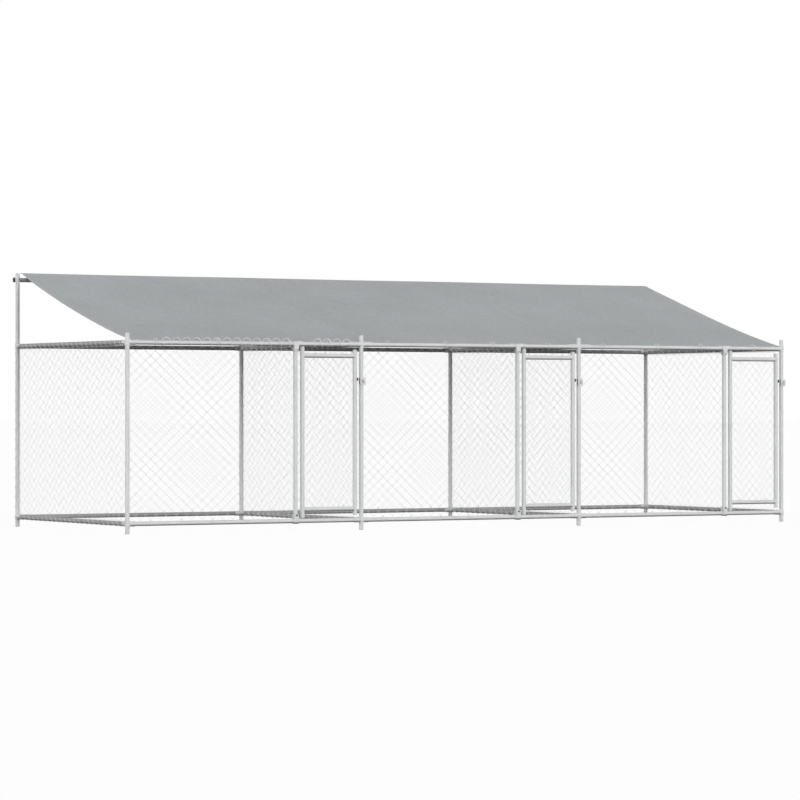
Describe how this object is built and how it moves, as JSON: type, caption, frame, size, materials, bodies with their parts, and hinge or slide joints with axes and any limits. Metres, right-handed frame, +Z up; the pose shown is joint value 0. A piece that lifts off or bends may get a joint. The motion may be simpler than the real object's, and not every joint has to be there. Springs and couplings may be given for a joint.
{
  "type": "outdoor dog kennel run",
  "caption": "Row of galvanised tube kennel bays with chain-link walls and dividers, a pivoting padlockable door in each bay and one sloping fabric roof.",
  "frame": {"origin": "middle of the footprint, on the ground", "axes": "+X along the row of bays to the right as seen from the doors, +Y from the doors to the back, +Z up"},
  "size_m": [6.0502, 2.1066, 2.0113],
  "materials": {
    "galvanised_tube": "hot-dip galvanised steel tube, fittings, screws and pivot pins, satin grey",
    "chain_link_wire": "galvanised steel wire",
    "dark_zinc": "dark zinc-plated bolts, nuts and hasp pins",
    "grey_plug": "moulded light grey plastic",
    "black_nylon": "moulded black nylon",
    "roof_fabric": "matt grey coated woven sheet",
    "tie_cord": "white elastic cord"
  },
  "bodies": {
    "kennel_frame": {"front_post_1": "galvanised_tube", "front_post_2": "galvanised_tube", "front_post_3": "galvanised_tube", "front_post_4": "galvanised_tube", "back_post_1": "galvanised_tube", "back_post_2": "galvanised_tube", "back_post_3": "galvanised_tube", "back_post_4": "galvanised_tube", "post_feet": "grey_plug", "post_caps": "grey_plug", "front_top_rails": "galvanised_tube", "front_bottom_rails": "galvanised_tube", "back_top_rails": "galvanised_tube", "back_bottom_rails": "galvanised_tube", "cross_top_rails": "galvanised_tube", "cross_bottom_rails": "galvanised_tube", "front_connectors": "galvanised_tube", "back_connectors": "galvanised_tube", "fitting_screws": "galvanised_tube", "back_mesh_1": "chain_link_wire", "back_mesh_2": "chain_link_wire", "back_mesh_3": "chain_link_wire", "side_mesh_1": "chain_link_wire", "side_mesh_2": "chain_link_wire", "divider_mesh_1": "chain_link_wire", "divider_mesh_2": "chain_link_wire", "front_mesh_1": "chain_link_wire", "front_mesh_2": "chain_link_wire", "front_mesh_3": "chain_link_wire", "door_posts": "galvanised_tube", "door_post_clamps": "galvanised_tube", "clamp_bolts": "dark_zinc", "hex_nuts": "dark_zinc", "hinge_pins": "galvanised_tube", "latch_keepers": "galvanised_tube", "roof_rails": "galvanised_tube", "roof_rail_sleeves": "galvanised_tube", "roof_rail_plugs": "black_nylon", "roof_rail_bolts": "dark_zinc", "roof_sheet": "roof_fabric", "roof_ties": "tie_cord"},
    "door_1": {"door_1_frame": "galvanised_tube", "door_1_bushes": "grey_plug", "door_1_mesh": "chain_link_wire", "door_1_latch_bracket": "galvanised_tube", "door_1_hasp_pin": "dark_zinc"},
    "hasp_1": {"door_1_hasp": "galvanised_tube"},
    "door_2": {"door_2_frame": "galvanised_tube", "door_2_bushes": "grey_plug", "door_2_mesh": "chain_link_wire", "door_2_latch_bracket": "galvanised_tube", "door_2_hasp_pin": "dark_zinc"},
    "hasp_2": {"door_2_hasp": "galvanised_tube"},
    "door_3": {"door_3_frame": "galvanised_tube", "door_3_bushes": "grey_plug", "door_3_mesh": "chain_link_wire", "door_3_latch_bracket": "galvanised_tube", "door_3_hasp_pin": "dark_zinc"},
    "hasp_3": {"door_3_hasp": "galvanised_tube"}
  },
  "joints": [
    {"name": "door_1_swing", "type": "hinge", "parent": "kennel_frame", "child": "door_1", "pos_m": [-1.518, -1, 0.75], "axis": [0, 0, -1], "range_deg": [0, 135]},
    {"name": "hasp_1_swing", "type": "hinge", "parent": "door_1", "child": "hasp_1", "pos_m": [-1.04419, -1.0217, 1.162], "axis": [0, 0, -1], "range_deg": [0, 150]},
    {"name": "door_2_swing", "type": "hinge", "parent": "kennel_frame", "child": "door_2", "pos_m": [0.482, -1, 0.75], "axis": [0, 0, -1], "range_deg": [0, 135]},
    {"name": "hasp_2_swing", "type": "hinge", "parent": "door_2", "child": "hasp_2", "pos_m": [0.95581, -1.0217, 1.162], "axis": [0, 0, -1], "range_deg": [0, 150]},
    {"name": "door_3_swing", "type": "hinge", "parent": "kennel_frame", "child": "door_3", "pos_m": [2.482, -1, 0.75], "axis": [0, 0, -1], "range_deg": [0, 135]},
    {"name": "hasp_3_swing", "type": "hinge", "parent": "door_3", "child": "hasp_3", "pos_m": [2.95581, -1.0217, 1.162], "axis": [0, 0, -1], "range_deg": [0, 150]}
  ]
}
